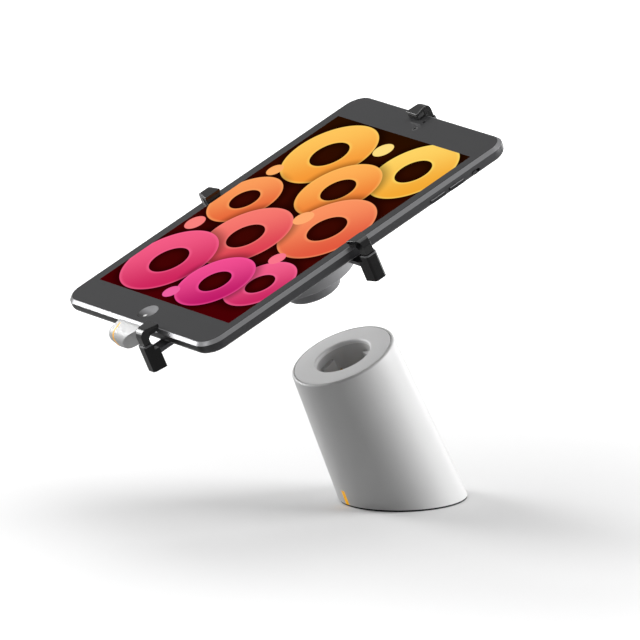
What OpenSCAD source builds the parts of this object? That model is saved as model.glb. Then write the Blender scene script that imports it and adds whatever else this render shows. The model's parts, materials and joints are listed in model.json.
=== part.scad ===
// Tablet security kiosk stand.
// A leaning round column holds a dock. A head with a puck, a hub, four sliding arms and four
// clips holds a tablet. The head is drawn lifted off its dock along the column's axis.
// Millimetres. The origin is the foot's centre on the counter, +Z is up, +X is the user's right
// and +Y points away from the user.

/* [Column] */
// Lean of the column's axis from upright, in degrees
lean = 25; // [20:1:30]
// Length of the axis from the foot's centre to the top face
column_h = 87.2; // [84:0.2:110]
// Radius of the column at its top
column_top_r = 27.6; // [27.4:0.1:32]
// Radius of the column across its axis at the foot's centre
column_foot_r = 30.7; // [30:0.1:36]
// Wall of the column's shell
column_wall = 2.4; // [1.8:0.1:3]
// Rounding of the column's top rim
rim_round = 1.2; // [0.6:0.1:1.3]
// Thickness of the rubber foot pad
foot_pad_t = 1; // [0.5:0.1:2]
// Thickness of the steel base plate
base_plate_t = 8; // [6:0.5:9]
// Free height between the steel ballast and the dock board
ballast_room = 5.8; // [4:0.2:16]
// Radius of the tapped hole for the counter stud
stud_r = 7; // [5:0.5:9]
// Width of the status light on the foot
light_w = 2.8; // [1:0.1:3.4]
// Length of the status light along the column
light_l = 10.3; // [6:0.1:16]

/* [Dock] */
// Gap between the top plate and the column's rim
seam_gap = 0.3; // [0.1:0.05:0.4]
// Thickness of the top plate
top_plate_t = 2.2; // [1.6:0.1:3]
// Radius of the docking well
well_r = 14.6; // [14.5:0.1:15.5]
// Rounding of the well's lip
well_lip = 1.2; // [0.6:0.1:1.5]
// Depth of the docking well
well_depth = 15.5; // [14:0.5:18]
// Wall of the dock socket
socket_wall = 2; // [1.5:0.1:2.5]
// Depth from the top face to the tops of the two keys
key_top = 6.6; // [6:0.1:8.5]
// Width of a key
dock_key_w = 9; // [5:0.5:9]
// Distance that a key stands into the well
dock_key_in = 2.2; // [1:0.1:2.6]
// Radius of a spring contact pin
pin_r = 0.9; // [0.6:0.1:1.2]
// Travel of the spring contact pins
pin_travel = 1.2; // [0.5:0.1:1.4]

/* [Head] */
// Height of the lifted head above its docked place
lift = 49.8; // [15:0.2:80]
// Radius of the docking plug
plug_r = 14.3; // [14:0.1:14.3]
// Length of the docking plug below the puck
plug_l = 9.9; // [8:0.1:10]
// Radius of the puck
puck_r = 26; // [25:0.1:30]
// Height of the puck
puck_h = 20.8; // [19:0.1:26]
// Radius of the flared top of the puck
flare_r = 33; // [31:0.5:36]
// Wall of the puck's housing
puck_wall = 2.2; // [1.6:0.1:2.6]
// Width of the square hub plate
hub_w = 80; // [76:1:96]
// Thickness of the hub plate
hub_t = 3.3; // [3.2:0.1:5]
// Thickness of the cover below the hub plate
hub_cover_t = 1.3; // [1:0.1:2]
// Thickness of the rubber pad behind the tablet
hub_pad_t = 0.7; // [0.4:0.1:1.5]

/* [Tablet] */
// Width of the tablet
tablet_w = 134.7; // [130:0.1:150]
// Length of the tablet
tablet_l = 200; // [190:0.5:220]
// Thickness of the tablet
tablet_t = 7.2; // [6.8:0.1:8]
// Corner radius of the tablet
tablet_r = 11; // [9:0.5:14]
// Width of the chamfer round the glass
chamfer_w = 1.4; // [0.6:0.1:1.8]
// Depth of the chamfer round the glass
chamfer_h = 1.6; // [0.8:0.1:1.8]
// Height of the flat band along the tablet's side
side_h = 2.3; // [1.5:0.1:2.5]
// Inward run of the curve that joins the side and the back
back_curve = 3.2; // [2:0.1:5]
// Width of the bezel beside the lit display
bezel_side = 7.5; // [5:0.1:12]
// Width of the bezel at the display's two ends
bezel_end = 20.2; // [19.5:0.1:26]
// Thickness of the front glass
glass_t = 1; // [0.8:0.1:1.2]
// Radius of the home button
home_r = 5.6; // [4.5:0.1:6]
// Distance of the home button's centre from the tablet's end
home_in = 10; // [9:0.1:11]
// Length of a volume button
key_l = 9.8; // [7:0.1:10]
// Width of a side button
key_w = 1.9; // [1.4:0.1:2.2]
// Height that a side button stands proud
key_proud = 0.5; // [0.3:0.1:0.8]

/* [Arms and clips] */
// Width of an arm
arm_w = 8; // [6:0.5:9]
// Thickness of an arm
arm_t = 2.4; // [1.6:0.1:2.4]
// Place of the right arm along the tablet
right_at = -1; // [-4:0.5:2]
// Place of the left arm along the tablet
left_at = -2.5; // [-4:0.5:2]
// Place of the top arm across the tablet
top_at = -9.5; // [-12:0.5:-8]
// Place of the bottom arm across the tablet
bottom_at = 19.4; // [19:0.1:24]
// Distance that the right and bottom arms are drawn open
arm_open = 5.8; // [0:0.1:9]
// Reach of a jaw from its lip to its leg
jaw_reach = 6.9; // [6:0.1:9]
// Width of a jaw at its lip
jaw_w = 9.6; // [8.6:0.1:11]
// Thickness of a jaw's hard top at its lip
jaw_t = 1.6; // [1.2:0.1:3]
// Rise of a jaw's top from its lip to its knuckle
jaw_rise = 0.5; // [0.2:0.1:2]
// Thickness of the rubber pad below a jaw
pad_t = 2; // [1:0.1:3]
// Thickness of a clip's leg
leg_t = 3.6; // [3:0.1:4.2]
// Length of a clip's leg below the glass
leg_l = 16.6; // [15:0.1:17]
// Height of a clip block below the tablet
block_h = 11.3; // [11:0.1:14]
// Height of a clip block's collar beside the tablet
collar_h = 3.4; // [1:0.1:4]
// Side wall of a clip block round the leg
block_wall = 0.75; // [0.6:0.05:1]

/* [Sensor pod] */
// Length of the pod along the tablet's end
pod_l = 30; // [26:0.5:31]
// Thickness of the pod
pod_h = 13; // [11:0.1:13.6]
// Distance that the pod stands out from the tablet's end
pod_out = 8.8; // [8:0.1:11]
// Width of the pod's status light
pod_light_w = 1.2; // [0.8:0.1:2]

/* [Fits] */
// Clearance round a sliding piece
slide_fit = 0.15; // [0.1:0.01:0.2]
// Gap between a jaw and what it closes on
grip_gap = 0.15; // [0.1:0.01:0.25]
// Clearance round a button
button_fit = 0.1; // [0.05:0.01:0.2]

/* [Hidden] */
$fn = 96;
eps = 0.01;

white = [0.93, 0.93, 0.92];
plate_grey = [0.78, 0.78, 0.78];
puck_grey = [0.6, 0.6, 0.6];
dark_grey = [0.22, 0.22, 0.23];
gloss_black = [0.04, 0.04, 0.045];
rubber_black = [0.08, 0.08, 0.08];
steel = [0.66, 0.67, 0.69];
brass = [0.8, 0.65, 0.3];
board_green = [0.1, 0.35, 0.2];
amber = [0.96, 0.66, 0.12];
space_grey = [0.4, 0.4, 0.41];
bezel_grey = [0.3, 0.3, 0.3];
screen_red = [0.28, 0.02, 0.02];

// The column
column_taper = (column_foot_r - column_top_r) / column_h;
column_below = 24;
plate_r = column_top_r - rim_round - seam_gap - 0.15;
shelf_w = 2.6;
base_top = foot_pad_t + base_plate_t;
light_x = 0.3;
ballast_gap = 0.8;
screw_ring_r = 18;
cable_r = 8;

// The dock, by depth below the top face
flange_t = 1.6;
flange_r = 22;
socket_floor_t = 2;
socket_r = well_r + socket_wall;
key_turns = [85, 195];
key_fit = 0.3;
magnet_t = 2.3;
magnet_r = 13;
board_t = 1.6;
board_depth = well_depth + socket_floor_t + magnet_t + 0.6;
dock_board_r = 20;
post_r = 1.6;
post_ring_r = dock_board_r - 1.2;
board_low = (column_h - board_depth - board_t) * cos(lean) - dock_board_r * sin(lean);
ballast_h = board_low - ballast_room - base_top;
pin_ring = [3, 7.5];
pin_top = plug_l + 0.1;
pin_l = 8;

// The head, by height along the column's axis
puck_z = column_h + lift;
cover_z = puck_z + puck_h;
hub_z = cover_z + hub_cover_t;
pad_z = hub_z + hub_t;
tablet_z = pad_z + hub_pad_t;
glass_z = tablet_z + tablet_t;
floor_t = 2;
neck_r = 12;
neck_fit = 0.08;
flange_top_r = 16;
flange_top_t = 1.5;
puck_board_z = 6.5;
puck_post_r = 1.8;
puck_cell_w = 30;
puck_cell_l = 20;
puck_cell_t = 7.5;
puck_cell_y = -5;
sounder_r = 6;
sounder_t = 5;
sounder_y = 13;
flare_rim = 1.2;
puck_board_r = puck_r - puck_wall - 1.3;
flare_start = 10;
hub_r = 14;
hub_screw_at = hub_w / 2 - 10;

// The arms lie this deep below the glass
arm_top = tablet_t + hub_pad_t + 0.7;
arm_mid = arm_top + slide_fit + arm_t / 2;
right_inner = 12;
left_inner = 5;
top_inner = 8;
bottom_inner = 13;
tooth_pitch = 3;
tooth_depth = 0.5;

// The clips, by distance outward from the jaw's lip
jaw_taper = 0.225;
knuckle_r = 4;
leg_in = jaw_reach;
leg_out = jaw_reach + leg_t;
block_in = 4.2;
block_out = leg_out + slide_fit + 0.7;
block_top = tablet_t + 0.3;
block_side = slide_fit + block_wall;
tenon_l = leg_in - slide_fit - block_in - 0.8;
pad_end = leg_in - chamfer_w - 0.1;
tenon_w = 6;
lip_right = tablet_w / 2 + grip_gap + arm_open - jaw_reach;
lip_left = tablet_w / 2 + grip_gap - jaw_reach;
lip_top = tablet_l / 2 + grip_gap - jaw_reach;
lip_bottom = tablet_l / 2 + grip_gap + arm_open - jaw_reach;
plate_screw_head_r = 3.8;
plate_screw_head_t = 2.8;
plate_screw_r = 1.65;
plate_screw_l = 8;
screw_shank_r = 0.8;
screw_head_r = 1.9;
screw_head_t = 1.2;
screw_u = leg_in + leg_t / 2;
screw_l = 5.5;

// The tablet, from the centre of its glass
rim_flat = 0.35;
glass_w = tablet_w - 2 * (chamfer_w + rim_flat);
glass_l = tablet_l - 2 * (chamfer_w + rim_flat);
glass_r = tablet_r - chamfer_w - rim_flat;
back_wall = 1;
display_w = tablet_w - 2 * bezel_side;
display_l = tablet_l - 2 * bezel_end;
cavity_side = 8.35;
cavity_end = 4;
cavity_r = 6;
cavity_w = tablet_w - 2 * cavity_side;
cavity_l = tablet_l - 2 * cavity_end;
cell_side = 15.35;
cell_t = 4.2;
board_side = 22;
board_l = 34;
board_end = 11;
tablet_board_t = 2.4;
cell_l = tablet_l - 2 * 41;
cell_y = -10;
board_y = tablet_l / 2 - board_end - board_l / 2;
rear_camera_in = 14;
rear_camera_r = 3.5;
rear_camera_t = 1.2;
front_lens_r = 1.8;
sensor_r = 0.85;
sensor_at = 6.2;
key_depth = 4.8;
key_in = 2.2;
home_y = -(tablet_l / 2 - home_in);
camera_y = tablet_l / 2 - 12.8;
volume_up_y = tablet_l / 2 - 37;
volume_down_y = volume_up_y - 12.4;
mute_y = tablet_l / 2 - 24.1;
mute_slot_l = 5;
mute_l = 2.6;
mute_travel = 1.6;
sleep_x = tablet_w / 2 - 18;
port_w = 8.2;
port_h = 2.4;
port_l = 5.5;
port_depth = tablet_t / 2;

// The sensor pod
pod_y = -(tablet_l / 2 + 0.15);
pod_mid = -1.8;
pod_top = 0.6;
pod_light_x = -9.5;

function arc(cx, cy, r, a0, a1, n) =
    [for (i = [0:n]) [cx + r * cos(a0 + (a1 - a0) * i / n), cy + r * sin(a0 + (a1 - a0) * i / n)]];

function jaw_half(u) = jaw_w / 2 - jaw_taper * u;

module on_axis(z) {
    rotate([lean, 0, 0]) translate([0, 0, z]) children();
}

module on_glass() {
    on_axis(glass_z) children();
}

module column_cone(inset) {
    r_low = column_foot_r + column_taper * column_below - inset;
    on_axis(-column_below) cylinder(h = column_h + column_below, r1 = r_low, r2 = column_top_r - inset);
}

module level_slab(z0, z1) {
    translate([-60, -90, z0]) cube([120, 180, z1 - z0]);
}

module ring(r_in, r_out, h) {
    difference() {
        cylinder(h = h, r = r_out);
        translate([0, 0, -eps]) cylinder(h = h + 2 * eps, r = r_in);
    }
}

module rounded_plate(w, l, r, h) {
    linear_extrude(h) {
        square([w - 2 * r, l], center = true);
        square([w, l - 2 * r], center = true);
        for (x = [-1, 1], y = [-1, 1])
            translate([x * (w / 2 - r), y * (l / 2 - r)]) circle(r);
    }
}

module pill(l, w, h) {
    linear_extrude(h) {
        square([l - w, w], center = true);
        for (x = [-1, 1]) translate([x * (l - w) / 2, 0]) circle(w / 2, $fn = 32);
    }
}

// The column

module light_window() {
    front_z = (column_foot_r + column_wall) * tan(lean);
    rotate([lean, 0, 0])
        translate([light_x - light_w / 2, -column_foot_r - 8, -column_below])
            cube([light_w, column_foot_r, column_below + front_z - column_wall + light_l]);
}

module base_shell() {
    top = column_h;
    r_low = column_foot_r + column_taper * column_below;
    color(white)
    intersection() {
        difference() {
            on_axis(0) rotate_extrude() polygon(concat(
                [[r_low, -column_below]],
                arc(column_top_r - rim_round, top - rim_round, rim_round, 0, 90, 6),
                [[plate_r + seam_gap, top],
                 [plate_r + seam_gap, top - top_plate_t],
                 [plate_r - shelf_w, top - top_plate_t],
                 [plate_r - shelf_w, top - top_plate_t - flange_t - 0.4],
                 [column_top_r - column_wall, top - top_plate_t - flange_t - shelf_w],
                 [r_low - column_wall, -column_below]]));
            light_window();
        }
        level_slab(foot_pad_t, 200);
    }
}

module status_light() {
    color(amber)
    intersection() {
        difference() {
            column_cone(0);
            column_cone(column_wall);
        }
        light_window();
        level_slab(foot_pad_t, 60);
    }
}

module top_plate() {
    color(plate_grey)
    on_axis(column_h - top_plate_t) rotate_extrude() polygon(concat(
        arc(well_r + well_lip, top_plate_t - well_lip, well_lip, 180, 90, 6),
        [[plate_r, top_plate_t], [plate_r, 0], [well_r, 0]]));
}

module key_blocks(r_in, r_out, w, h) {
    for (turn = key_turns) rotate([0, 0, turn]) translate([r_in, -w / 2, 0]) cube([r_out - r_in, w, h]);
}

module dock_socket() {
    tube_l = well_depth - top_plate_t;
    color(plate_grey)
    on_axis(column_h - top_plate_t) {
        difference() {
            union() {
                translate([0, 0, -flange_t]) ring(well_r, flange_r, flange_t);
                translate([0, 0, -tube_l]) ring(well_r, socket_r, tube_l);
                translate([0, 0, -tube_l - socket_floor_t]) cylinder(h = socket_floor_t, r = socket_r);
            }
            translate([0, 0, -tube_l])
                key_blocks(well_r - 2, socket_r + 1, dock_key_w + 2 * key_fit, well_depth - key_top + key_fit);
            for (x = [-1, 1], p = pin_ring)
                translate([x * p, 0, -well_depth - 3]) cylinder(h = 8, r = pin_r + slide_fit);
        }
        for (k = [0:2]) rotate([0, 0, 120 * k + 60])
            translate([post_ring_r, 0, -(board_depth - top_plate_t)])
                cylinder(h = board_depth - top_plate_t - flange_t, r = post_r);
    }
}

module dock_keys() {
    color(puck_grey)
    on_axis(column_h - well_depth)
        key_blocks(well_r - dock_key_in, socket_r - 0.1, dock_key_w, well_depth - key_top);
}

module contact_pins() {
    color(brass)
    on_axis(column_h - pin_top - pin_l)
        for (x = [-1, 1], p = pin_ring) translate([x * p, 0, 0]) {
            cylinder(h = pin_l - 0.5, r = pin_r);
            translate([0, 0, pin_l - 0.5]) cylinder(h = 0.5, r1 = pin_r, r2 = pin_r - 0.4);
        }
}

module dock_magnet() {
    color(steel)
    on_axis(column_h - well_depth - socket_floor_t - magnet_t) ring(pin_ring[1] + 2.2, magnet_r, magnet_t);
}

module dock_board() {
    color(board_green)
    on_axis(column_h - board_depth - board_t) cylinder(h = board_t, r = dock_board_r);
}

module power_socket() {
    color(steel)
    on_axis(column_h - board_depth - board_t - 3.4) translate([-4.5, -3.6, 0])
        difference() {
            cube([9, 7.2, 3.4]);
            translate([1, -eps, 0.8]) cube([7, 6, 1.8]);
        }
}

module ballast() {
    color(steel)
    difference() {
        intersection() {
            column_cone(column_wall + ballast_gap);
            level_slab(base_top, base_top + ballast_h);
        }
        translate([0, 0, base_top - eps]) cylinder(h = ballast_h + 1, r = cable_r);
        for (k = [0:2]) rotate([0, 0, 120 * k + 90])
            translate([screw_ring_r, 0, base_top - eps]) cylinder(h = plate_screw_l + 1, r = plate_screw_r);
    }
}

module base_plate() {
    color(steel)
    difference() {
        intersection() {
            column_cone(column_wall + 2 * slide_fit);
            level_slab(foot_pad_t, base_top);
        }
        cylinder(h = base_top + 1, r = stud_r);
        for (k = [0:2]) rotate([0, 0, 120 * k + 90]) translate([screw_ring_r, 0, 0]) {
            cylinder(h = base_top + 1, r = plate_screw_r + 0.55);
            cylinder(h = foot_pad_t + plate_screw_head_t + 0.2, r = plate_screw_head_r + 0.4);
        }
    }
}

module base_screws() {
    head_t = plate_screw_head_t;
    color(steel)
    for (k = [0:2]) rotate([0, 0, 120 * k + 90]) translate([screw_ring_r, 0, foot_pad_t + 0.2])
        difference() {
            union() {
                cylinder(h = head_t, r = plate_screw_head_r);
                cylinder(h = base_plate_t - 0.2 + plate_screw_l, r = plate_screw_r);
            }
            translate([0, 0, -eps]) cylinder(h = 1.6, r = 1.4, $fn = 6);
        }
}

module foot_pad() {
    color(rubber_black)
    difference() {
        intersection() {
            column_cone(0.5);
            level_slab(0, foot_pad_t);
        }
        translate([0, 0, -1]) cylinder(h = foot_pad_t + 2, r = stud_r + 2.5);
    }
}

// The plug under the puck

module dock_plug() {
    round_r = 1.3;
    fillet_r = 0.8;
    neck_top = plug_l + floor_t;
    in_r = neck_r - 2.2;
    notch_h = plug_l - key_top + 0.6;
    notch_in = well_r - dock_key_in - 0.3;
    color(puck_grey)
    on_axis(puck_z - plug_l) difference() {
        rotate_extrude() polygon(concat(
            [[0, 0]],
            arc(plug_r - round_r, round_r, round_r, -90, 0, 5),
            arc(plug_r + fillet_r, plug_l - fillet_r, fillet_r, 180, 90, 4),
            [[neck_r, plug_l],
             [neck_r, neck_top],
             [flange_top_r, neck_top],
             [flange_top_r, neck_top + flange_top_t],
             [in_r, neck_top + flange_top_t],
             [in_r, 2.2],
             [0, 2.2]]));
        for (p = pin_ring) translate([0, 0, -eps]) ring(p - 0.8, p + 0.8, 0.6 + eps);
        translate([0, 0, -eps]) key_blocks(notch_in, plug_r + 2, dock_key_w + 0.6, notch_h);
    }
}

module plug_contacts() {
    color(brass)
    on_axis(puck_z - plug_l) for (p = pin_ring) ring(p - 0.8, p + 0.8, 0.6);
}

module plug_keeper() {
    color(steel)
    on_axis(puck_z - plug_l + 2.2) cylinder(h = 2, r = neck_r - 2.4);
}

// The puck

module puck_housing() {
    flare_w = flare_r - puck_r;
    flare_h = puck_h - flare_rim - flare_start;
    sweep_r = (flare_w * flare_w + flare_h * flare_h) / (2 * flare_w);
    sweep_a = asin(flare_h / sweep_r);
    inner_a = asin(flare_h / (sweep_r + puck_wall));
    foot_round = 0.8;
    color(puck_grey)
    on_axis(puck_z) {
        rotate_extrude() polygon(concat(
            [[neck_r + neck_fit, 0]],
            arc(puck_r - foot_round, foot_round, foot_round, -90, 0, 4),
            arc(puck_r + sweep_r, flare_start, sweep_r, 180, 180 - sweep_a, 8),
            [[flare_r, puck_h],
             [flare_r - puck_wall, puck_h]],
            arc(puck_r + sweep_r, flare_start, sweep_r + puck_wall, 180 - inner_a, 180, 8),
            [[puck_r - puck_wall, floor_t],
             [neck_r + neck_fit, floor_t]]));
        for (k = [0:2]) rotate([0, 0, 120 * k])
            translate([puck_board_r - puck_post_r, 0, floor_t - 0.2])
                cylinder(h = puck_board_z - floor_t + 0.2, r = puck_post_r);
    }
}

module puck_board() {
    color(board_green)
    on_axis(puck_z + puck_board_z) cylinder(h = board_t, r = puck_board_r);
}

module puck_battery() {
    color(dark_grey)
    on_axis(puck_z + puck_board_z + board_t)
        translate([0, puck_cell_y, 0]) rounded_plate(puck_cell_w, puck_cell_l, 2, puck_cell_t);
}

module alarm_sounder() {
    color(gloss_black)
    on_axis(puck_z + puck_board_z + board_t) translate([0, sounder_y, 0]) difference() {
        cylinder(h = sounder_t, r = sounder_r);
        translate([0, 0, sounder_t * 0.8]) cylinder(h = sounder_t, r = sounder_r / 4);
    }
}

// The hub

module hub_cover() {
    color(dark_grey)
    on_axis(cover_z) difference() {
        rounded_plate(hub_w - 4, hub_w - 4, hub_r - 2, hub_cover_t);
        for (x = [-1, 1], y = [-1, 1]) translate([x * hub_screw_at, y * hub_screw_at, -eps]) {
            cylinder(h = hub_cover_t + 1, r = 1.6);
            cylinder(h = hub_cover_t - 0.5 + 2 * eps, r = 3);
        }
        translate([0, 0, -eps]) cylinder(h = hub_cover_t + 1, r = 6);
    }
}

module channel(w, from, to) {
    z = -(arm_top + arm_t + 2 * slide_fit) - 5;
    translate([from, -w / 2, z]) cube([to - from, w, 5 + arm_t + 2 * slide_fit]);
}

module hub_plate() {
    w = arm_w + 2 * slide_fit;
    far = hub_w;
    color(dark_grey)
    difference() {
        on_axis(hub_z) difference() {
            rounded_plate(hub_w, hub_w, hub_r, hub_t);
            for (x = [-1, 1], y = [-1, 1]) translate([x * hub_screw_at, y * hub_screw_at, -eps])
                cylinder(h = 2.2, r = 1.4);
        }
        on_glass() {
            translate([0, right_at, 0]) channel(w, right_inner - arm_open - 1, far);
            translate([0, left_at, 0]) rotate([0, 0, 180]) channel(w, left_inner - 1, far);
            translate([top_at, 0, 0]) rotate([0, 0, 90]) channel(w, top_inner - 1, far);
            translate([bottom_at, 0, 0]) rotate([0, 0, -90]) channel(w, bottom_inner - arm_open - 1, far);
        }
    }
}

module hub_pad() {
    color(rubber_black)
    on_axis(pad_z) rounded_plate(hub_w - 6, hub_w - 6, hub_r - 3, hub_pad_t);
}

module hub_screws() {
    color(steel)
    on_axis(cover_z) for (x = [-1, 1], y = [-1, 1]) translate([x * hub_screw_at, y * hub_screw_at, 0])
        difference() {
            union() {
                cylinder(h = hub_cover_t - 0.5, r = 2.8);
                cylinder(h = hub_cover_t + 2, r = 1.4);
            }
            translate([0, 0, -eps]) cylinder(h = 0.5, r = 1.1, $fn = 6);
        }
}

// The tablet

function side_profile(inner) = concat(
    [[inner, 0], [-chamfer_w, 0], [0, -chamfer_h], [0, -chamfer_h - side_h]],
    [for (i = [1:8]) let (a = 90 * i / 8, drop = tablet_t - chamfer_h - side_h)
        [-back_curve * (1 - cos(a)), -chamfer_h - side_h - drop * sin(a)]],
    [[inner, -tablet_t]]);

module tablet_blank() {
    w = tablet_w / 2;
    l = tablet_l / 2;
    core_w = w - tablet_r;
    core_l = l - tablet_r;
    for (x = [-1, 1], y = [-1, 1]) translate([x * core_w, y * core_l, 0])
        rotate_extrude() translate([tablet_r, 0]) polygon(side_profile(-tablet_r));
    for (s = [0, 180]) rotate([0, 0, s]) {
        translate([core_w, core_l, 0]) rotate([90, 0, 0])
            linear_extrude(2 * core_l) translate([tablet_r, 0]) polygon(side_profile(-tablet_r));
        translate([-core_w, core_l, 0]) rotate([90, 0, 90])
            linear_extrude(2 * core_w) translate([tablet_r, 0]) polygon(side_profile(-tablet_r));
    }
    translate([-core_w, -core_l, -tablet_t]) cube([2 * core_w, 2 * core_l, tablet_t]);
}

module side_key_place(y) {
    translate([tablet_w / 2, y, -key_depth]) rotate([90, 0, 90]) children();
}

module tablet_housing() {
    pocket_l = key_l + 2 * button_fit;
    pocket_w = key_w + 2 * button_fit;
    color(space_grey)
    on_glass() difference() {
        tablet_blank();
        translate([0, 0, -glass_t]) rounded_plate(glass_w, glass_l, glass_r, glass_t + 1);
        translate([0, 0, -tablet_t + back_wall]) rounded_plate(cavity_w, cavity_l, cavity_r, tablet_t);
        for (y = [volume_up_y, volume_down_y]) side_key_place(y)
            translate([0, 0, -key_in - 0.5]) pill(pocket_l, pocket_w, 6);
        side_key_place(mute_y) translate([0, 0, -key_in]) pill(mute_slot_l, pocket_w, 6);
        translate([sleep_x, tablet_l / 2, -key_depth]) rotate([-90, 0, 0])
            translate([0, 0, -key_in - 0.5]) pill(pocket_l, pocket_w, 6);
        translate([0, -tablet_l / 2 - 1, -port_depth]) rotate([-90, 0, 0]) pill(port_w, port_h, port_l + 1);
        translate([tablet_w / 2 - rear_camera_in, tablet_l / 2 - rear_camera_in, -tablet_t - 1])
            cylinder(h = rear_camera_t + 1, r = rear_camera_r);
    }
}

module front_glass() {
    color(bezel_grey)
    on_glass() translate([0, 0, -glass_t]) difference() {
        rounded_plate(glass_w, glass_l, glass_r, glass_t);
        translate([-display_w / 2, -display_l / 2, -1]) cube([display_w, display_l, glass_t + 2]);
        translate([0, home_y, -1]) cylinder(h = glass_t + 2, r = home_r + button_fit);
        translate([0, camera_y, -1]) cylinder(h = glass_t + 2, r = front_lens_r);
        translate([0, camera_y + sensor_at, -1]) cylinder(h = glass_t + 2, r = sensor_r);
    }
}

module display() {
    color(screen_red)
    on_glass() translate([-display_w / 2, -display_l / 2, -glass_t])
        cube([display_w, display_l, glass_t]);
}

module tablet_battery() {
    color(dark_grey)
    on_glass() translate([0, cell_y, -tablet_t + back_wall])
        rounded_plate(tablet_w - 2 * cell_side, cell_l, cavity_r / 2, cell_t);
}

module tablet_board() {
    color(board_green)
    on_glass() translate([0, board_y, -tablet_t + back_wall])
        rounded_plate(tablet_w - 2 * board_side, board_l, 2, tablet_board_t);
}

module front_camera() {
    color(gloss_black)
    on_glass() {
        translate([0, camera_y, -glass_t]) difference() {
            cylinder(h = glass_t - 0.05, r = front_lens_r);
            translate([0, 0, glass_t - 0.35]) cylinder(h = 1, r = front_lens_r - 0.8);
        }
        translate([0, camera_y + sensor_at, -glass_t]) cylinder(h = glass_t - 0.05, r = sensor_r);
    }
}

module rear_camera() {
    color(gloss_black)
    on_glass() translate([tablet_w / 2 - rear_camera_in, tablet_l / 2 - rear_camera_in, -tablet_t])
        difference() {
            cylinder(h = rear_camera_t, r = rear_camera_r);
            translate([0, 0, -eps]) cylinder(h = rear_camera_t / 3, r = rear_camera_r - 1.2);
        }
}

module home_button() {
    dish_r = 46;
    color(bezel_grey)
    on_glass() translate([0, home_y, -glass_t]) difference() {
        cylinder(h = glass_t, r = home_r);
        translate([0, 0, glass_t - 0.35 + dish_r]) sphere(dish_r, $fn = 96);
    }
}

module side_key(l, y) {
    side_key_place(y) translate([0, 0, -key_in + 0.3]) pill(l, key_w, key_in - 0.3 + key_proud);
}

module volume_up() {
    color(space_grey) on_glass() side_key(key_l, volume_up_y);
}

module volume_down() {
    color(space_grey) on_glass() side_key(key_l, volume_down_y);
}

module mute_switch() {
    shift = (mute_slot_l - mute_l) / 2 - 0.3;
    color(space_grey) on_glass() side_key(mute_l, mute_y - shift);
}

module sleep_button() {
    color(space_grey)
    on_glass() translate([sleep_x, tablet_l / 2, -key_depth]) rotate([-90, 0, 0])
        translate([0, 0, -key_in + 0.3]) pill(key_l, key_w, key_in - 0.3 + key_proud);
}

// The sensor pod

module pod_body() {
    half = pod_l / 2;
    crown_r = 2;
    belly_r = pod_h * 0.35;
    heel_r = pod_h * 0.31;
    translate([pod_mid, pod_y, 0]) hull() {
        for (x = [-1, 1]) {
            translate([x * (half - 5), -0.6, -pod_top - crown_r]) sphere(crown_r, $fn = 24);
            translate([x * (half - belly_r), belly_r - pod_out, -pod_top - pod_h * 0.47]) sphere(belly_r, $fn = 32);
            translate([x * (half - 6.5), heel_r - pod_out + 0.8, -pod_top - pod_h + heel_r]) sphere(heel_r, $fn = 32);
            translate([x * (half - 8), 0.5, -pod_top - pod_h + heel_r + 1]) sphere(heel_r - 1, $fn = 24);
        }
    }
}

module pod_cut() {
    translate([-60, pod_y, -40]) cube([120, 60, 60]);
}

module pod_facet() {
    translate([pod_mid + pod_l * 0.27, pod_y - 2.4, -pod_top - 2.2])
        rotate([0, 0, -34]) rotate([0, 34, 0]) translate([0, -40, -40]) cube([40, 80, 80]);
}

module pod_light_zone() {
    translate([pod_light_x - pod_light_w / 2, pod_y - 30, -pod_top - pod_h * 0.85])
        cube([pod_light_w, 30 - 2, pod_h]);
}

module pod_shell() {
    color(white)
    on_glass() difference() {
        pod_body();
        pod_cut();
        pod_facet();
        pod_light_zone();
    }
}

module pod_light() {
    color(amber)
    on_glass() difference() {
        intersection() {
            pod_body();
            pod_light_zone();
        }
        pod_cut();
        pod_facet();
    }
}

module pod_connector() {
    color(steel)
    on_glass() translate([0, pod_y, -port_depth]) rotate([-90, 0, 0])
        pill(port_w - 2 * button_fit - 0.4, port_h - 0.6, port_l - 0.4);
}

// The arms and clips, drawn outward along +X from the jaw's lip

module at_right() {
    on_glass() translate([lip_right, right_at, 0]) children();
}

module at_left() {
    on_glass() translate([-lip_left, left_at, 0]) rotate([0, 0, 180]) children();
}

module at_top() {
    on_glass() translate([top_at, lip_top, 0]) rotate([0, 0, 90]) children();
}

module at_bottom() {
    on_glass() translate([bottom_at, -lip_bottom, 0]) rotate([0, 0, -90]) children();
}

module clip_plan(u0, u1, extra) {
    translate([0, 0, -60]) linear_extrude(120) polygon([
        [u0, jaw_half(u0) + extra], [u0, -jaw_half(u0) - extra],
        [u1, -jaw_half(u1) - extra], [u1, jaw_half(u1) + extra]]);
}

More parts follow.
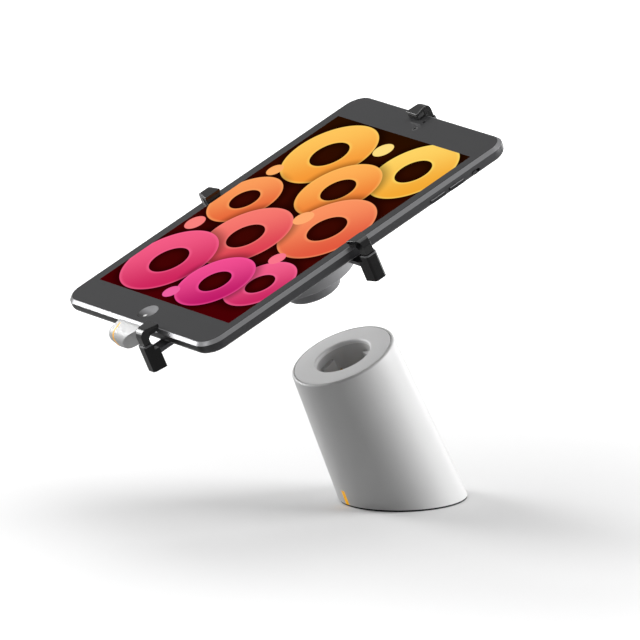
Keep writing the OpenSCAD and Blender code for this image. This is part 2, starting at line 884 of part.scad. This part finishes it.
module hook() {
    top = grip_gap + pad_t + jaw_t + jaw_rise;
    cx = leg_out - knuckle_r;
    cz = top - knuckle_r;
    under = grip_gap + pad_t;
    w = jaw_w + 2;
    color(gloss_black)
    difference() {
        intersection() {
            union() {
                rotate([90, 0, 0]) linear_extrude(w, center = true)
                    polygon([
                        [0, under], [0, under + jaw_t], [cx, top], [cx + 0.4, top - 1],
                        [leg_in + 0.4, grip_gap - chamfer_w], [leg_in - chamfer_w - 1, grip_gap - chamfer_w]]);
                intersection() {
                    translate([cx, 0, cz]) rotate([90, 0, 0]) cylinder(h = w, r = knuckle_r, center = true);
                    translate([cx, -w / 2, cz]) cube([knuckle_r + 1, w, knuckle_r + 1]);
                }
                translate([leg_in, -w / 2, -leg_l]) cube([leg_t, w, cz + leg_l + 0.01]);
            }
            clip_plan(0, leg_out, 0);
        }
        rotate([90, 0, 0]) linear_extrude(2 * w, center = true) polygon([
            [-1, -leg_l - 1], [-1, under], [leg_in - chamfer_w, under], [leg_in - chamfer_w, grip_gap],
            [leg_in, grip_gap - chamfer_w], [leg_in, -leg_l - 1]]);
        translate([screw_u, 0, -leg_l - eps]) cylinder(h = screw_l + 1, r = screw_shank_r + slide_fit, $fn = 32);
    }
}

module jaw_pad() {
    inset = 0.3;
    color(rubber_black)
    intersection() {
        translate([inset, -jaw_w, grip_gap]) cube([pad_end - inset, 2 * jaw_w, pad_t]);
        clip_plan(0, leg_out, -inset);
    }
}

module clip_block() {
    cut = 0.9;
    low = block_top + block_h;
    in_h = jaw_half(block_in) + block_side;
    out_h = jaw_half(block_out) + block_side;
    near_h = jaw_half(block_out - cut) + block_side;
    collar_in = leg_in - slide_fit;
    color(gloss_black)
    difference() {
        translate([0, 0, -low]) linear_extrude(block_h + collar_h) polygon([
            [block_in, in_h], [block_in, -in_h], [block_out - cut, -near_h],
            [block_out, -out_h + cut], [block_out, out_h - cut], [block_out - cut, near_h]]);
        translate([0, -jaw_w, -block_top]) cube([collar_in, 2 * jaw_w, collar_h + 1]);
        intersection() {
            translate([collar_in, -jaw_w, -low + 1.6])
                cube([leg_t + 2 * slide_fit, 2 * jaw_w, block_h + collar_h]);
            clip_plan(collar_in, leg_out + slide_fit, slide_fit);
        }
        translate([block_in - eps, -tenon_w / 2, -arm_mid - arm_t / 2])
            cube([tenon_l + eps, tenon_w, arm_t]);
        translate([screw_u, 0, -low - eps]) {
            cylinder(h = 3, r = screw_shank_r + 0.1, $fn = 32);
            cylinder(h = screw_head_t + 2 * eps, r = screw_head_r + 0.1, $fn = 48);
        }
    }
}

module clamp_screw() {
    low = block_top + block_h;
    color(steel)
    translate([screw_u, 0, -low]) difference() {
        union() {
            cylinder(h = screw_head_t, r = screw_head_r, $fn = 48);
            cylinder(h = 1.6 + screw_l, r = screw_shank_r, $fn = 32);
        }
        translate([0, 0, -eps]) cylinder(h = 0.7, r = 1, $fn = 6);
    }
}

module arm(lip, inner) {
    start = inner - lip;
    notches = floor((hub_w / 2 - inner - 4) / tooth_pitch);
    color(dark_grey)
    translate([0, 0, -arm_mid - arm_t / 2]) difference() {
        union() {
            translate([start, -arm_w / 2, 0]) cube([block_in - start, arm_w, arm_t]);
            translate([block_in - eps, -tenon_w / 2, 0]) cube([tenon_l + eps, tenon_w, arm_t]);
        }
        for (i = [0:notches]) translate([start + 3 + tooth_pitch * i, 0, 0]) rotate([0, 45, 0])
            cube([2 * tooth_depth, arm_w + 2, 2 * tooth_depth], center = true);
    }
}

module right_arm() { at_right() arm(lip_right, right_inner); }
module right_block() { at_right() clip_block(); }
module right_hook() { at_right() hook(); }
module right_pad() { at_right() jaw_pad(); }
module right_screw() { at_right() clamp_screw(); }
module left_arm() { at_left() arm(lip_left, left_inner); }
module left_block() { at_left() clip_block(); }
module left_hook() { at_left() hook(); }
module left_pad() { at_left() jaw_pad(); }
module left_screw() { at_left() clamp_screw(); }
module top_arm() { at_top() arm(lip_top, top_inner); }
module top_block() { at_top() clip_block(); }
module top_hook() { at_top() hook(); }
module top_pad() { at_top() jaw_pad(); }
module top_screw() { at_top() clamp_screw(); }
module bottom_arm() { at_bottom() arm(lip_bottom, bottom_inner); }
module bottom_block() { at_bottom() clip_block(); }
module bottom_hook() { at_bottom() hook(); }
module bottom_pad() { at_bottom() jaw_pad(); }
module bottom_screw() { at_bottom() clamp_screw(); }

base_shell();
top_plate();
dock_socket();
dock_keys();
contact_pins();
dock_magnet();
dock_board();
power_socket();
ballast();
base_plate();
base_screws();
foot_pad();
status_light();
dock_plug();
plug_contacts();
plug_keeper();
puck_housing();
puck_board();
puck_battery();
alarm_sounder();
hub_cover();
hub_plate();
hub_pad();
hub_screws();
tablet_housing();
front_glass();
display();
tablet_battery();
tablet_board();
front_camera();
rear_camera();
home_button();
volume_up();
volume_down();
mute_switch();
sleep_button();
pod_shell();
pod_light();
pod_connector();
right_arm();
right_block();
right_hook();
right_pad();
right_screw();
left_arm();
left_block();
left_hook();
left_pad();
left_screw();
top_arm();
top_block();
top_hook();
top_pad();
top_screw();
bottom_arm();
bottom_block();
bottom_hook();
bottom_pad();
bottom_screw();
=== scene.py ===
import json
import math
import bpy
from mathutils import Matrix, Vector

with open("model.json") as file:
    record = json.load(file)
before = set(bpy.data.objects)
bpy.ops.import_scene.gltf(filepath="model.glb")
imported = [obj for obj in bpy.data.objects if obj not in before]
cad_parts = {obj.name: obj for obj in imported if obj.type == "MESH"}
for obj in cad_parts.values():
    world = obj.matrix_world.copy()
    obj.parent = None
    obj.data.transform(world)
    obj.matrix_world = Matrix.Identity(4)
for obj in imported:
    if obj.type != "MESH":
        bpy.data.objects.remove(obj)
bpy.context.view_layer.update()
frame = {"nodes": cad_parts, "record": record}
NODES = frame["nodes"]
scene = bpy.context.scene
MM = 0.001

# The column's lean, and the height of the tablet's glass along the column's axis
LEAN = math.radians(25)
GLASS_HEIGHT = 170.3 * MM

# The camera: its direction from the front and from level, and where it looks in the picture's plane
AZIMUTH = math.radians(56.5)
ELEVATION = math.radians(12.8)
DISTANCE = 6.0
LOOK_RIGHT = -42.09 * MM
LOOK_UP = 90.47 * MM
SENSOR_WIDTH = 36.0
FOCAL_LENGTH = 662.8
NEAR_CLIP = 0.1
FAR_CLIP = 60.0

level_back = Vector((math.sin(AZIMUTH), -math.cos(AZIMUTH), 0.0))
back = level_back * math.cos(ELEVATION) + Vector((0.0, 0.0, math.sin(ELEVATION)))
right = Vector((math.cos(AZIMUTH), math.sin(AZIMUTH), 0.0))
up = back.cross(right)
cam_data = bpy.data.cameras.new("camera")
cam_data.sensor_width = SENSOR_WIDTH
cam_data.lens = FOCAL_LENGTH
cam_data.clip_start = NEAR_CLIP
cam_data.clip_end = FAR_CLIP
cam = bpy.data.objects.new("camera", cam_data)
cam.location = right * LOOK_RIGHT + up * LOOK_UP + back * DISTANCE
cam.rotation_mode = "QUATERNION"
cam.rotation_quaternion = back.to_track_quat("Z", "Y")
scene.collection.objects.link(cam)
scene.camera = cam

scene.view_settings.view_transform = "Standard"


def linear(c):
    """One colour value of a picture, 0 to 255, as linear light."""
    c = c / 255.0
    return c / 12.92 if c <= 0.04045 else ((c + 0.055) / 1.055) ** 2.4


def rgb(r, g, b):
    return (linear(r), linear(g), linear(b), 1.0)


class Mat:
    """A node material built up by small calls."""

    def __init__(self, name, color, rough, metal=0.0, **more):
        self.m = bpy.data.materials.new(name)
        self.m.use_nodes = True
        self.t = self.m.node_tree
        self.b = self.t.nodes["Principled BSDF"]
        self.set(Base_Color=color, Roughness=rough, Metallic=metal, **more)

    def set(self, **sockets):
        """Give the shader's sockets a number, a colour or a node's output."""
        for key, value in sockets.items():
            self.put(self.b.inputs[key.replace("_", " ")], value)

    def put(self, socket, value):
        if hasattr(value, "is_output"):
            self.t.links.new(value, socket)
        else:
            socket.default_value = value

    def node(self, kind, **props):
        n = self.t.nodes.new(kind)
        for key, value in props.items():
            setattr(n, key, value)
        return n

    def math(self, op, *values):
        n = self.node("ShaderNodeMath", operation=op)
        for socket, value in zip(n.inputs, values):
            self.put(socket, value)
        return n.outputs[0]

    def hypot(self, a, b):
        """The distance that two offsets make together."""
        squares = [self.math("MULTIPLY", v, v) for v in (a, b)]
        return self.math("SQRT", self.math("ADD", *squares))

    def ramp(self, value, lo, hi, out_lo=0.0, out_hi=1.0, smooth=True):
        n = self.node("ShaderNodeMapRange", interpolation_type="SMOOTHSTEP" if smooth else "LINEAR")
        self.put(n.inputs["Value"], value)
        n.inputs["From Min"].default_value = lo
        n.inputs["From Max"].default_value = hi
        n.inputs["To Min"].default_value = out_lo
        n.inputs["To Max"].default_value = out_hi
        return n.outputs[0]

    def mix(self, factor, a, b):
        n = self.node("ShaderNodeMix", data_type="RGBA")
        self.put(n.inputs[0], factor)
        self.put(n.inputs[6], a)
        self.put(n.inputs[7], b)
        return n.outputs[2]

    def place(self):
        return self.node("ShaderNodeTexCoord").outputs["Object"]

    def split(self, vector):
        n = self.node("ShaderNodeSeparateXYZ")
        self.put(n.inputs[0], vector)
        return n.outputs[0], n.outputs[1], n.outputs[2]

    def local(self):
        """The place in the tablet's own frame, in millimetres: across, along and height over its glass."""
        m = self.node("ShaderNodeMapping", vector_type="TEXTURE")
        self.put(m.inputs["Vector"], self.place())
        m.inputs["Location"].default_value = Vector((0, -math.sin(LEAN), math.cos(LEAN))) * GLASS_HEIGHT
        m.inputs["Rotation"].default_value = (LEAN, 0, 0)
        m.inputs["Scale"].default_value = (MM, MM, MM)
        return self.split(m.outputs[0])

    def noise(self, scale):
        n = self.node("ShaderNodeTexNoise")
        n.inputs["Scale"].default_value = scale
        self.put(n.inputs["Vector"], self.place())
        return n

    def uneven(self, color, amount, scale):
        """A base colour that is darker by up to an amount, in soft patches."""
        hsv = self.node("ShaderNodeHueSaturation")
        hsv.inputs["Color"].default_value = color
        patches = self.ramp(self.noise(scale).outputs[0], 0.3, 0.7, 1.0 - amount, 1.0, smooth=False)
        self.put(hsv.inputs["Value"], patches)
        self.set(Base_Color=hsv.outputs[0])

    def grain(self, scale, strength, depth):
        """A fine bump."""
        noise = self.noise(scale)
        noise.inputs["Detail"].default_value = 3.0
        bump = self.node("ShaderNodeBump")
        bump.inputs["Strength"].default_value = strength
        bump.inputs["Distance"].default_value = depth
        self.put(bump.inputs["Height"], noise.outputs[0])
        self.set(Normal=bump.outputs[0])


# Plain materials: colour, roughness, metal, how much the colour varies and at what noise scale
PLAIN = {
    "white_shell": ((215, 215, 215), 0.38, 0.0, 0.02, 40),
    # The top plate: its own light grey, raised above the white shell's tone as painted light where the
    # tablet shades it
    "plate_grey": ((243, 243, 243), 0.42, 0.0, 0.03, 40),
    "puck_grey": ((143, 143, 145), 0.45, 0.0, 0.03, 40),
    "key_grey": ((238, 238, 239), 0.45, 0.0, 0.03, 40),
    # The well's wall: painted shade, the plate's plastic darkened where the well lies in shade
    "well_grey": ((212, 212, 212), 0.42, 0.0, 0.03, 40),
    # The plug under the disc: painted shade, a darker copy of the puck's grey
    "plug_grey": ((114, 114, 116), 0.4, 0.0, 0.03, 40),
    # The pod: painted shade, a darker copy of the white shell's plastic
    "pod_white": ((188, 188, 188), 0.4, 0.0, 0.02, 40),
    "hub_dark": ((52, 52, 54), 0.5, 0.0, 0.06, 40),
    "arm_dark": ((62, 62, 65), 0.35, 0.6, 0.06, 40),
    "clip_black": ((6, 6, 7), 0.16, 0.0, 0.2, 300),
    "rubber": ((26, 26, 27), 0.8, 0.0, 0.2, 400),
    "steel": ((176, 178, 181), 0.32, 1.0, 0.08, 300),
    "cast_weight": ((90, 90, 92), 0.6, 0.8, 0.2, 200),
    "magnet": ((190, 190, 193), 0.15, 1.0, 0.04, 300),
    "contact_brass": ((212, 172, 96), 0.25, 1.0, 0.1, 500),
    "board_green": ((24, 92, 54), 0.4, 0.0, 0.2, 300),
    "battery_grey": ((120, 122, 126), 0.35, 0.4, 0.08, 200),
    "amber_light": ((206, 146, 16), 0.3, 0.0, 0.04, 300),
    "bezel_glass": ((63, 63, 64), 0.22, 0.0, 0.02, 60),
    "lens_black": ((12, 12, 14), 0.06, 0.0, 0.3, 900),
}
MATS = {}
for name, (color, rough, metal, amount, scale) in PLAIN.items():
    MATS[name] = Mat(name, rgb(*color), rough, metal)
    MATS[name].uneven(rgb(*color), amount, scale)
MATS["hub_dark"].grain(2600, 0.12, 0.03 * MM)
MATS["amber_light"].set(Specular_IOR_Level=0.2, Emission_Color=rgb(246, 176, 20), Emission_Strength=0.55)
MATS["bezel_glass"].set(Specular_IOR_Level=0.1)
MATS["lens_black"].set(Coat_Weight=1.0)


def two_tone(name, below, above, low, high, rough, metal=0.0, **more):
    """A colour that changes between two heights, in the tablet's millimetres."""
    mat = Mat(name, rgb(*below), rough, metal, **more)
    _, _, height = mat.local()
    mat.set(Base_Color=mat.mix(mat.ramp(height, low, high, smooth=False), rgb(*below), rgb(*above)))
    MATS[name] = mat


# Painted highlights: a light line along the volume keys' upper edge, and a light rim round the top of the
# clip blocks
two_tone("side_key", (48, 48, 50), (196, 196, 198), -4.15, -3.95, 0.2, 0.6)
two_tone("block_black_painted_highlight", (6, 6, 7), (112, 112, 114), -5.0, -4.7, 0.16, Specular_IOR_Level=0.3)


def home_button():
    """The dished button: a painted reflection, dark at its outer end and light at its inner end, with a
    small painted highlight.
    """
    outer_end, inner_end = -93.8, -88.5
    highlight_across, highlight_along = 1.1, -92.8
    highlight_edge, highlight_core = 1.5, 0.3
    mat = Mat("home_button", rgb(30, 30, 31), 0.2)
    across, along, _ = mat.local()
    # Painted reflection: darker at the outer end, lighter at the inner end
    shade = mat.ramp(along, outer_end, inner_end, smooth=False)
    shade = mat.mix(shade, rgb(12, 12, 13), rgb(138, 138, 140))
    # Painted highlight: a small bright spot
    off = mat.hypot(mat.math("SUBTRACT", across, highlight_across), mat.math("SUBTRACT", along, highlight_along))
    mat.set(Base_Color=mat.mix(mat.ramp(off, highlight_edge, highlight_core), shade, rgb(235, 235, 235)))
    MATS["home_button"] = mat


def tablet_housing():
    """Anodised metal with a polished chamfer round the glass, a painted highlight line low on its sides and
    a painted dark reflection at its home end.
    """
    chamfer_low, chamfer_full = -1.68, -1.6
    highlight_low, highlight_high, highlight_fade = -6.7, -6.45, 0.05
    dark_end_start, dark_end_full = -98.2, -99.6
    side_metal, chamfer_metal = 0.4, 0.9
    side_rough, chamfer_rough = 0.32, 0.3
    mat = Mat("tablet_grey", rgb(66, 66, 68), side_rough, side_metal)
    _, along, height = mat.local()
    chamfer = mat.ramp(height, chamfer_low, chamfer_full, smooth=False)
    # Painted highlight: a light line low on the tablet's sides
    highlight_rise = mat.ramp(height, highlight_low - highlight_fade, highlight_low + highlight_fade)
    highlight_fall = mat.ramp(height, highlight_high + highlight_fade, highlight_high - highlight_fade)
    # Painted dark reflection: the home end is darkened
    home_end = mat.ramp(along, dark_end_start, dark_end_full)
    side = mat.mix(home_end, rgb(66, 66, 68), rgb(16, 16, 17))
    side = mat.mix(mat.math("MULTIPLY", highlight_rise, highlight_fall), side, rgb(190, 190, 192))
    mat.set(
        Base_Color=mat.mix(chamfer, side, rgb(150, 150, 152)),
        Metallic=mat.math("MULTIPLY_ADD", chamfer, chamfer_metal - side_metal, side_metal),
        Roughness=mat.math("MULTIPLY_ADD", chamfer, chamfer_rough - side_rough, side_rough),
    )
    MATS["tablet_grey"] = mat


# The lit screen's rings: place across and along, radius in mm, light colour and dark colour
RINGS = [
    (38, 58, 25, (255, 212, 100), (244, 168, 50)),
    (-30, 52, 27, (255, 198, 92), (246, 150, 52)),
    (8, 30, 24, (255, 178, 88), (238, 122, 48)),
    (-42, 4, 21, (252, 158, 92), (230, 100, 56)),
    (36, 2, 27, (252, 148, 98), (226, 88, 62)),
    (-8, -20, 26, (248, 122, 112), (220, 62, 82)),
    (44, -48, 20, (244, 96, 140), (204, 38, 98)),
    (-34, -52, 27, (244, 92, 134), (206, 36, 92)),
    (14, -56, 22, (242, 78, 146), (192, 26, 104)),
]
# The screen's dots: place, radius and colour
DOTS = [
    (0, 66, 6, (255, 222, 130)),
    (-50, 30, 5, (255, 176, 104)),
    (12, 4, 6, (255, 172, 112)),
    (-52, -22, 6, (250, 130, 126)),
    (32, -28, 5, (250, 118, 140)),
    (-4, -72, 5, (240, 96, 160)),
]
# A hole's share of its ring's radius, and soft widths in mm
RING_HOLE = 0.4
BORDER = 0.35
RIM_WIDTH = 2.4
RIM_STRENGTH = 0.55
SHADOW_REACH = 7
SHADOW_INSET = 2
SHADOW_TONE = 0.4
LIGHT_SLANT = (0.75, -0.65)
GROUND_END = 80


def ring(mat, below, dx, dy, radius, light, dark):
    """A shaded ring with a light rim over what lies below it, and the soft shadow that it throws."""
    middle = radius * (1 + RING_HOLE) / 2
    half = radius * (1 - RING_HOLE) / 2
    band = mat.math("ABSOLUTE", mat.math("SUBTRACT", mat.hypot(dx, dy), middle))
    shadow = mat.node("ShaderNodeHueSaturation")
    dark_band = mat.ramp(band, half + SHADOW_REACH, half - SHADOW_INSET, 1.0, SHADOW_TONE)
    mat.put(shadow.inputs["Value"], dark_band)
    mat.put(shadow.inputs["Color"], below)
    slant = [mat.math("MULTIPLY", d, share) for d, share in zip((dx, dy), LIGHT_SLANT)]
    fill = mat.mix(mat.ramp(mat.math("ADD", *slant), -radius, radius), rgb(*light), rgb(*dark))
    rim = rgb(*[min(255, int(v * 1.05) + 10) for v in light])
    fill = mat.mix(mat.ramp(band, half - RIM_WIDTH, half, 0.0, RIM_STRENGTH), fill, rim)
    return mat.mix(mat.ramp(band, half, half - BORDER), shadow.outputs[0], fill)


def lit_screen():
    """Rings and dots over a dark red ground."""
    mat = Mat("screen", (0, 0, 0, 1), 0.3, Specular_IOR_Level=0.0, Emission_Strength=1.0)
    across, along, _ = mat.local()
    ground = mat.ramp(along, -GROUND_END, GROUND_END, smooth=False)
    picture = mat.mix(ground, rgb(72, 0, 4), rgb(38, 14, 0))
    for at_across, at_along, *look in RINGS:
        dx = mat.math("SUBTRACT", across, at_across)
        dy = mat.math("SUBTRACT", along, at_along)
        picture = ring(mat, picture, dx, dy, *look)
    for at_across, at_along, radius, color in DOTS:
        off = mat.hypot(mat.math("SUBTRACT", across, at_across), mat.math("SUBTRACT", along, at_along))
        picture = mat.mix(mat.ramp(off, radius, radius - BORDER), picture, rgb(*color))
    mat.set(Emission_Color=picture)
    MATS["screen"] = mat


home_button()
tablet_housing()
lit_screen()

# Pieces that don't look like the rest of their slot, and a slot that looks like another
SIDES = ("right", "left", "top", "bottom")
OWN_LOOK = {
    "home_button": "home_button", "dock_keys": "key_grey", "dock_socket": "well_grey",
    "dock_plug": "plug_grey", "pod_shell": "pod_white", "volume_up": "side_key", "volume_down": "side_key",
}
for side in SIDES:
    OWN_LOOK[side + "_block"] = "block_black_painted_highlight"
SLOT_LOOK = {"sounder_black": "lens_black"}

# Edge widths of the clips' pieces
BEVEL = {"hook": 0.6 * MM, "pad": 0.3 * MM, "arm": 0.25 * MM}
WELD_DISTANCE = 0.002 * MM
FLAT_ANGLE = math.radians(1)
BEVEL_ANGLE = math.radians(40)
HARD_ANGLE = math.radians(28)


def round_edges(piece, width):
    """Join flat faces, round the edges between them and shade evenly."""
    flat = piece.modifiers.new("flat", "DECIMATE")
    flat.decimate_type = "DISSOLVE"
    flat.angle_limit = FLAT_ANGLE
    bevel = piece.modifiers.new("edges", "BEVEL")
    bevel.width = width
    bevel.segments = 3
    bevel.limit_method = "ANGLE"
    bevel.angle_limit = BEVEL_ANGLE
    even = piece.modifiers.new("even", "WEIGHTED_NORMAL")
    even.keep_sharp = False


def keep_edges(piece):
    """Leave each edge hard where faces meet at more than the hard angle."""
    split = piece.modifiers.new("hard_edges", "EDGE_SPLIT")
    split.split_angle = HARD_ANGLE
    split.use_edge_sharp = False


for part in frame["record"]["subparts"]:
    name = part["node"]
    slot = part["material_slot"]
    piece = NODES[name]
    look = OWN_LOOK.get(name) or SLOT_LOOK.get(slot) or slot
    piece.data.materials.clear()
    piece.data.materials.append(MATS[look].m)
    piece.data.shade_smooth()
    weld = piece.modifiers.new("weld", "WELD")
    weld.merge_threshold = WELD_DISTANCE
    side, _, kind = name.partition("_")
    if side in SIDES and kind in BEVEL:
        round_edges(piece, BEVEL[kind])
    else:
        keep_edges(piece)

# The floor: darker for the light that it throws back, paler for the camera, and a painted glow for the
# camera that grows from faint near the object to white further out
FLOOR_REACH = 14
FLOOR_BOUNCE = 0.4
FLOOR_SEEN = 0.76
GLOW_START, GLOW_FULL = 0.05, 0.9
GLOW_NEAR, GLOW_FAR = 0.03, 1.0
corners = [(-1, -1), (1, -1), (1, 1), (-1, 1)]
floor_mesh = bpy.data.meshes.new("floor")
floor_mesh.from_pydata([(x * FLOOR_REACH, y * FLOOR_REACH, 0) for x, y in corners], [], [(0, 1, 2, 3)])
floor = bpy.data.objects.new("floor", floor_mesh)
scene.collection.objects.link(floor)
ground = Mat("floor", (0.8, 0.8, 0.8, 1), 0.8)
floor_mesh.materials.append(ground.m)
seen = ground.node("ShaderNodeLightPath").outputs["Is Camera Ray"]
floor_x, floor_y, _ = ground.split(ground.place())
out = ground.hypot(floor_x, floor_y)
bounce_grey = (FLOOR_BOUNCE, FLOOR_BOUNCE, FLOOR_BOUNCE, 1)
seen_grey = (FLOOR_SEEN, FLOOR_SEEN, FLOOR_SEEN, 1)
ground.set(Base_Color=ground.mix(seen, bounce_grey, seen_grey))
strength = ground.math("MULTIPLY", seen, ground.ramp(out, GLOW_START, GLOW_FULL, GLOW_NEAR, GLOW_FAR))
glow = ground.node("ShaderNodeEmission")
ground.put(glow.inputs["Strength"], strength)
add = ground.node("ShaderNodeAddShader")
ground.put(add.inputs[0], ground.b.outputs[0])
ground.put(add.inputs[1], glow.outputs[0])
ground.put(ground.t.nodes["Material Output"].inputs["Surface"], add.outputs[0])

# The world: white behind the object for the camera, grey in glossy reflections, dim for everything else
ROOM_LIGHT = 0.04
ROOM_REFLECTED = 0.5
WHITE = (1, 1, 1, 1)
world = bpy.data.worlds.new("world")
scene.world = world
world.use_nodes = True
nodes = world.node_tree.nodes
links = world.node_tree.links
rays = nodes.new("ShaderNodeLightPath")
level = nodes.new("ShaderNodeMath")
level.operation = "MULTIPLY_ADD"
level.inputs[1].default_value = ROOM_REFLECTED - ROOM_LIGHT
level.inputs[2].default_value = ROOM_LIGHT
room = nodes["Background"]
room.inputs["Color"].default_value = WHITE
backdrop = nodes.new("ShaderNodeBackground")
backdrop.inputs["Color"].default_value = WHITE
backdrop.inputs["Strength"].default_value = 1.0
choose = nodes.new("ShaderNodeMixShader")
links.new(rays.outputs["Is Glossy Ray"], level.inputs[0])
links.new(level.outputs[0], room.inputs["Strength"])
links.new(rays.outputs["Is Camera Ray"], choose.inputs[0])
links.new(room.outputs[0], choose.inputs[1])
links.new(backdrop.outputs[0], choose.inputs[2])
links.new(choose.outputs[0], nodes["World Output"].inputs["Surface"])


def area(name, at, target, size, power):
    """A rectangular light in metres and watts, turned to a target."""
    data = bpy.data.lights.new(name, "AREA")
    data.shape = "RECTANGLE"
    data.size, data.size_y = size
    data.energy = power
    lamp = bpy.data.objects.new(name, data)
    scene.collection.objects.link(lamp)
    lamp.location = at
    lamp.rotation_mode = "QUATERNION"
    lamp.rotation_quaternion = (at - target).to_track_quat("Z", "Y")


def around(to_right, to_camera, height):
    """A place given along the camera's right, toward the camera and up, in metres."""
    return right * to_right + level_back * to_camera + Vector((0.0, 0.0, height))


centre = Vector((0, 0, 0.1))
area("overhead", around(0.0, -0.3, 1.6), centre, (1.6, 1.4), 10.5)
area("far_side", Vector((-1.33, -0.64, 0.7)), centre, (0.7, 0.5), 15)
area("right_side", around(1.25, -0.02, 0.55), centre, (0.9, 0.7), 21)
area("left_side", around(-1.28, -0.37, 0.34), centre, (0.3, 0.5), 3.4)
area("home_end", Vector((-0.3, -1.1, 1.0)), Vector((0, -0.1, 0.16)), (1.1, 0.9), 6.7)
area("low_strip", Vector((-0.43, 1.19, 0.1)), Vector((0.08, 0, 0.155)), (0.4, 0.16), 0.9)
